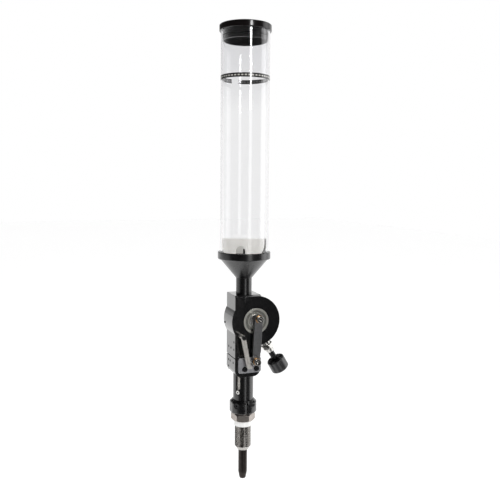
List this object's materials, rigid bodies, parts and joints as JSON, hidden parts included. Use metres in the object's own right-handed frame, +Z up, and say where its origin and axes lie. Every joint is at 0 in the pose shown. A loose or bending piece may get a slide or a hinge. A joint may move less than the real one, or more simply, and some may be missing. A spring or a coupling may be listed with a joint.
{
  "type": "rotary-drum powder measure",
  "caption": "Bench dispenser for granular powder: clear hopper and cap, metering drum with crank and adjuster knob, sliding drop spout and a threaded die body with lock nut.",
  "frame": {"origin": "on the powder axis, at the top of the exposed die thread, where the seat ring rests", "axes": "+Z up along the powder axis from the spout to the cap; -Y towards the crank side; +X towards the drum casing"},
  "size_m": [0.1003, 0.07, 0.6054],
  "materials": {
    "steel": "turned steel",
    "chrome": "bright plated steel",
    "black_alu": "black anodised aluminium",
    "grey_alu": "satin aluminium",
    "black_screw": "black oxide steel",
    "black_steel": "blued steel",
    "spring_steel": "spring wire",
    "bronze": "sintered bronze",
    "cage_brass": "pressed brass",
    "arm_steel": "satin grey steel",
    "clear": "clear acrylic",
    "gloss_black": "gloss black moulding",
    "black_seal": "rubber",
    "sheet": "bright folded sheet"
  },
  "bodies": {
    "frame": {"die_body": "steel", "clamp_collar": "black_alu", "collar_screws": "black_screw", "guide_tube": "black_alu", "outlet_tube": "steel", "base_block": "black_alu", "block_side_screws": "black_screw", "tie_bolts": "black_screw", "front_plate": "grey_alu", "plate_screws": "black_screw", "seam_gasket": "black_seal", "housing": "black_alu", "housing_side_screws": "black_screw", "rear_cover": "black_alu", "rear_cover_screws": "black_screw", "neck_screw": "black_screw", "front_bearing_outer": "chrome", "rear_bearing_outer": "chrome", "link_post": "steel", "link_screw": "black_screw", "hopper_base": "black_alu", "hopper_set_screws": "black_screw", "tube_gasket": "black_seal", "hopper_tube": "clear", "level_band": "gloss_black", "baffle": "sheet", "return_spring": "spring_steel"},
    "rotor": {"rotor_drum": "steel", "front_bearing_inner": "chrome", "rear_bearing_inner": "chrome", "drive_hub": "steel", "crank_arm": "arm_steel", "arm_bush": "bronze", "arm_screw": "chrome", "drive_bush": "bronze", "drive_pin": "chrome", "catch_pin": "steel", "metering_gland": "steel"},
    "metering_carrier": {"metering_piston": "steel"},
    "metering_screw": {"metering_stem": "black_steel", "adjuster_knob": "black_alu", "knob_screw": "black_screw"},
    "ball_sets": {"front_bearing_balls": "chrome", "front_bearing_cage": "cage_brass", "rear_bearing_balls": "chrome", "rear_bearing_cage": "cage_brass"},
    "drop_slide": {"drop_sleeve": "steel", "guide_screw": "steel", "spout": "black_steel"},
    "link": {"stop_link": "steel"},
    "seat": {"seat_ring": "chrome"},
    "nut": {"lock_nut": "chrome"},
    "cap": {"hopper_cap": "gloss_black", "cap_seal": "black_seal"}
  },
  "joints": [
    {"name": "rotor_turn", "type": "hinge", "parent": "frame", "child": "rotor", "pos_m": [0.0115, 0, 0.1465], "axis": [0, -1, 0], "range_deg": [0, 118.4]},
    {"name": "ball_orbit", "type": "hinge", "parent": "frame", "child": "ball_sets", "pos_m": [0.0115, 0, 0.1465], "axis": [0, -1, 0], "range_deg": [0, 49]},
    {"name": "metering_feed", "type": "slide", "parent": "rotor", "child": "metering_carrier", "axis": [0.5111, 0, -0.8595], "range_m": [-0.005, 0.005]},
    {"name": "knob_turn", "type": "hinge", "parent": "metering_carrier", "child": "metering_screw", "pos_m": [0.0115, 0, 0.1465], "axis": [0.5111, 0, -0.8595], "range_deg": [-1441, 1441]},
    {"name": "spout_lift", "type": "slide", "parent": "frame", "child": "drop_slide", "axis": [0, 0, 1], "range_m": [0, 0.02], "stiffness_N_per_m": 150, "springref_m": -0.03, "deforming": ["return_spring"]},
    {"name": "link_swing", "type": "hinge", "parent": "frame", "child": "link", "pos_m": [-0.011, 0, 0.1289], "axis": [0, 1, 0], "range_deg": [0, 70]},
    {"name": "seat_travel", "type": "slide", "parent": "frame", "child": "seat", "axis": [0, 0, -1], "range_m": [-0.0019, 0.0182]},
    {"name": "nut_turn", "type": "hinge", "parent": "seat", "child": "nut", "pos_m": [0, 0, 0.0125], "axis": [0, 0, -1], "range_deg": [-378, 3613]},
    {"name": "cap_lift", "type": "slide", "parent": "frame", "child": "cap", "axis": [0, 0, 1], "range_m": [0, 0.06]}
  ],
  "couplings": [
    {"joint": "ball_orbit", "follows": "rotor_turn", "ratio": 0.41154},
    {"joint": "knob_turn", "follows": "metering_feed", "rad_per_m": 5026.5},
    {"joint": "nut_turn", "follows": "seat_travel", "rad_per_m": 3463.7}
  ]
}
